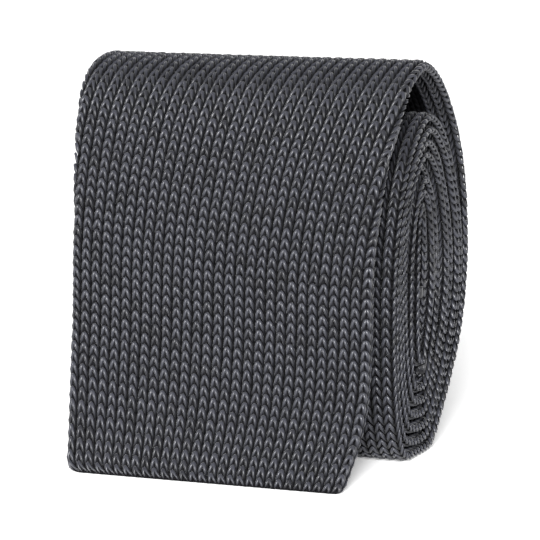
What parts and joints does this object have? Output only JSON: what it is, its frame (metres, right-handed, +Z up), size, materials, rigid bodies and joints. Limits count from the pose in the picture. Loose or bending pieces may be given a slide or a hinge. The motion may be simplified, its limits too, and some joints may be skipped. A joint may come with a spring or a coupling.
{
  "type": "rolled knitted necktie",
  "caption": "Square-ended knitted necktie rolled around its narrow end, with the wide blade's end hanging down in front as a flap.",
  "frame": {"origin": "on the floor, under the middle of the bounding box", "axes": "+X along the width of the tie, which is the axis of the roll; -Y to the front, where the wide end hangs; +Z up"},
  "size_m": [0.064, 0.069, 0.0762],
  "materials": {
    "yarn": "charcoal satin yarn, plain knit",
    "seam_yarn": "charcoal yarn, whipped",
    "stay_tape": "matt woven tape",
    "label_cloth": "smooth woven satin, blank",
    "thread": "polyester sewing thread"
  },
  "bodies": {
    "roll": {"blade_roll": "yarn", "blade_neck_seam": "seam_yarn", "neck_band": "yarn", "neck_stay_tape": "stay_tape", "neck_tail_seam": "seam_yarn", "tail_blade": "yarn", "tail_end_seam": "seam_yarn", "keeper_loop": "yarn", "keeper_tack_left": "thread", "keeper_tack_right": "thread", "label": "label_cloth", "label_stitch_left": "thread", "label_stitch_right": "thread"},
    "shoulder": {"blade_shoulder": "yarn"},
    "front": {"blade_front": "yarn"},
    "tip": {"blade_tip": "yarn", "blade_end_seam": "seam_yarn"}
  },
  "joints": [
    {"name": "flap_peel", "type": "hinge", "parent": "roll", "child": "shoulder", "pos_m": [0.00135, -0.01364, 0.06746], "axis": [-0.9952, -0.067, 0.0711], "range_deg": [0, 30]},
    {"name": "flap_fold", "type": "hinge", "parent": "shoulder", "child": "front", "pos_m": [0.00135, -0.02283, 0.04884], "axis": [-0.9987, -0.0301, 0.0423], "range_deg": [0, 35]},
    {"name": "flap_tip_curl", "type": "hinge", "parent": "front", "child": "tip", "pos_m": [0.00135, -0.02577, 0.02308], "axis": [-0.9995, -0.0187, 0.0256], "range_deg": [0, 40]}
  ]
}
